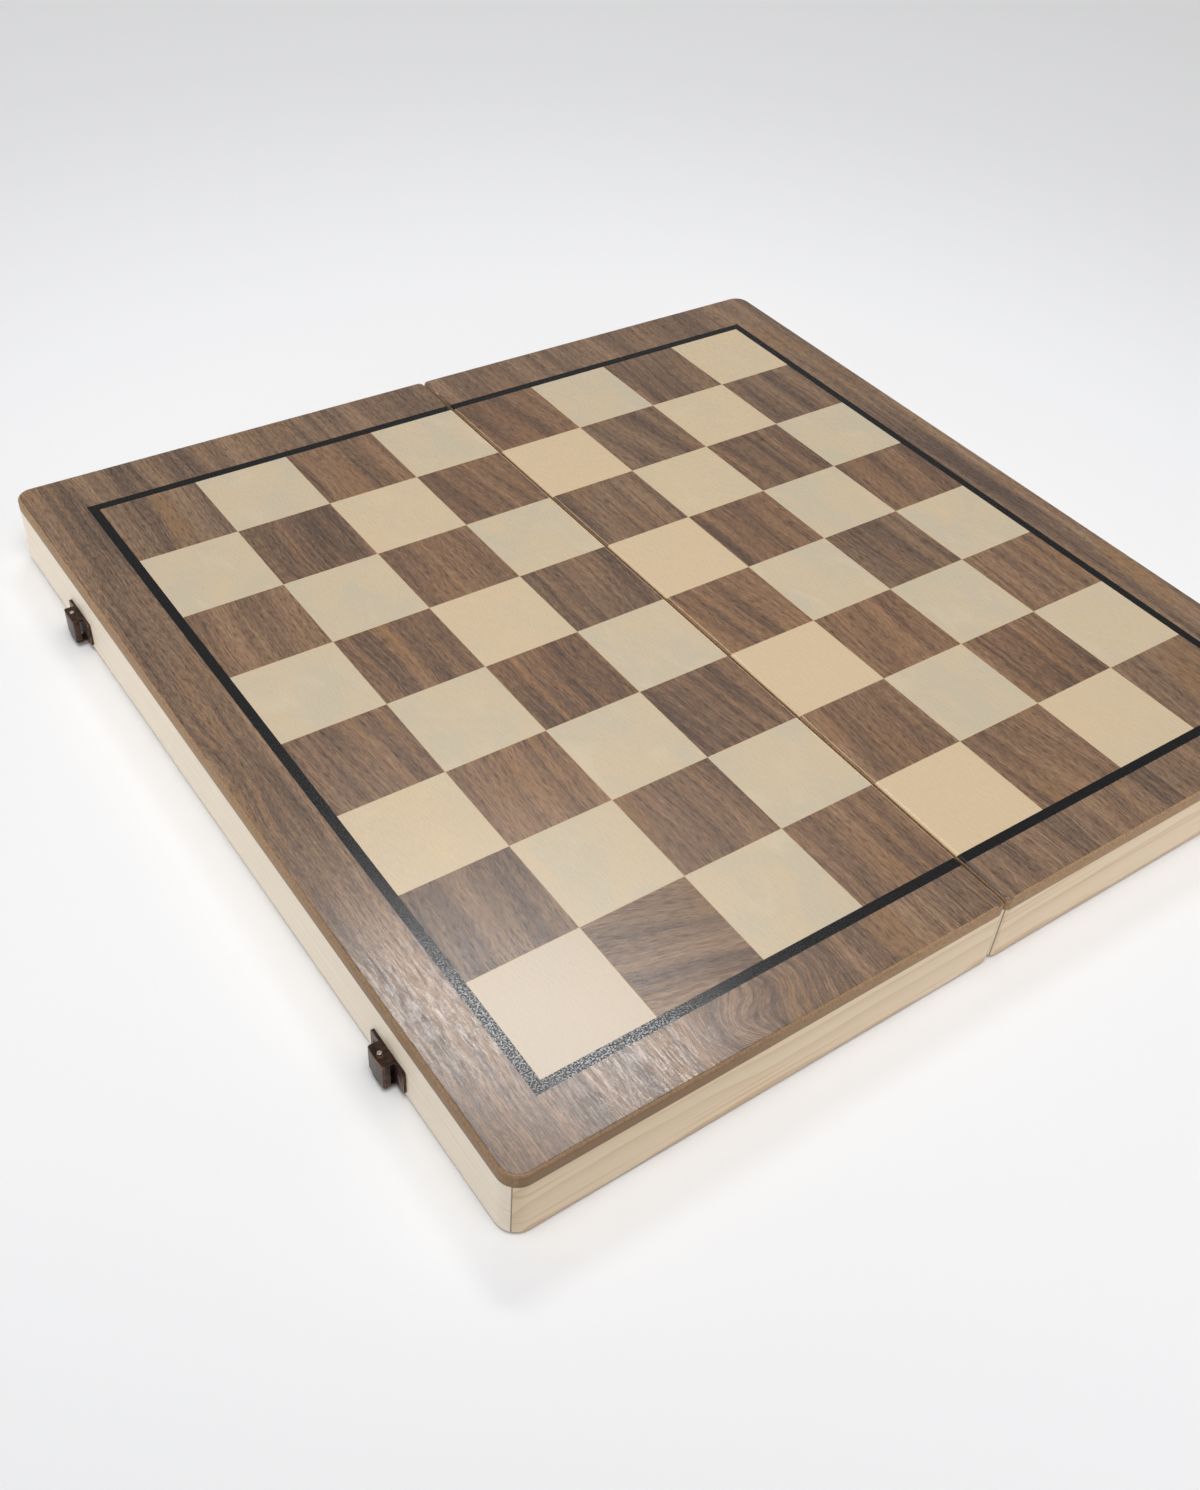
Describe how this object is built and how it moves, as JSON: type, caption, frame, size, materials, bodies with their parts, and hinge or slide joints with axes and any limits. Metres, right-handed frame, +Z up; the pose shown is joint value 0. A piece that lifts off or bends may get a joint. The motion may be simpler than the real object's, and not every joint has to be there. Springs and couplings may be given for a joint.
{
  "type": "folding chessboard",
  "caption": "Square wooden chessboard that folds in half into a shallow box, with slotted foam trays inside, inset hinges and two small lever latches.",
  "frame": {"origin": "middle of the seam between the two halves, on the table under the open board", "axes": "+Z up, out of the playing surface; Y along the seam; +X from the half with the latches to the half that folds under it"},
  "size_m": [0.389, 0.3808, 0.0297],
  "materials": {
    "walnut": "satin lacquer over straight-grained walnut veneer",
    "maple": "satin lacquer over pale maple veneer",
    "black_line": "dyed black veneer line, satin lacquer",
    "fibreboard": "sealed fibreboard edge",
    "pine": "satin lacquer over pale solid wood",
    "felt": "dark green felt",
    "foam": "black closed-cell foam",
    "brass": "plain brass sheet and screws",
    "bronze": "antique bronze plating, worn bright at the edges",
    "steel": "bright drawn steel wire"
  },
  "bodies": {
    "left_half": {"left_core_panel": "fibreboard", "left_border_veneer": "walnut", "left_line_inlay": "black_line", "left_light_squares": "maple", "left_dark_squares": "walnut", "left_outer_wall": "pine", "left_hinge_wall": "pine", "left_near_wall": "pine", "left_far_wall": "pine", "left_felt_lining": "felt", "left_foam_insert": "foam", "left_hinge_screws": "brass", "near_hinge_left_leaf": "brass", "near_hinge_pin": "steel", "near_latch_base": "bronze", "near_latch_pin": "steel", "near_latch_spring": "steel", "far_hinge_left_leaf": "brass", "far_hinge_pin": "steel", "far_latch_base": "bronze", "far_latch_pin": "steel", "far_latch_spring": "steel", "latch_screws": "bronze"},
    "right_half": {"right_core_panel": "fibreboard", "right_border_veneer": "walnut", "right_line_inlay": "black_line", "right_light_squares": "maple", "right_dark_squares": "walnut", "right_outer_wall": "pine", "right_hinge_wall": "pine", "right_near_wall": "pine", "right_far_wall": "pine", "right_felt_lining": "felt", "right_foam_insert": "foam", "right_hinge_screws": "brass", "near_hinge_right_leaf": "brass", "near_strike_plate": "bronze", "near_strike_pin": "steel", "far_hinge_right_leaf": "brass", "far_strike_plate": "bronze", "far_strike_pin": "steel", "strike_screws": "bronze"},
    "near_lever": {"near_latch_lever": "bronze"},
    "far_lever": {"far_latch_lever": "bronze"},
    "near_tongue": {"near_strike_tongue": "bronze"},
    "far_tongue": {"far_strike_tongue": "bronze"}
  },
  "joints": [
    {"name": "fold", "type": "hinge", "parent": "left_half", "child": "right_half", "pos_m": [0, 0, 0.001], "axis": [0, 1, 0], "range_deg": [0, 180]},
    {"name": "near_lever_press", "type": "hinge", "parent": "left_half", "child": "near_lever", "pos_m": [-0.1938, -0.1234, 0.0081], "axis": [0, 0, 1], "range_deg": [0, 17], "stiffness_Nm_per_rad": 0.004, "springref_deg": -14.32},
    {"name": "near_tongue_fold", "type": "hinge", "parent": "right_half", "child": "near_tongue", "pos_m": [0.1925, -0.1234, 0.0041], "axis": [0, 1, 0], "range_deg": [0, 180]},
    {"name": "far_lever_press", "type": "hinge", "parent": "left_half", "child": "far_lever", "pos_m": [-0.1938, 0.1234, 0.0081], "axis": [0, 0, 1], "range_deg": [0, 17], "stiffness_Nm_per_rad": 0.004, "springref_deg": -14.32},
    {"name": "far_tongue_fold", "type": "hinge", "parent": "right_half", "child": "far_tongue", "pos_m": [0.1925, 0.1234, 0.0041], "axis": [0, 1, 0], "range_deg": [0, 180]}
  ]
}
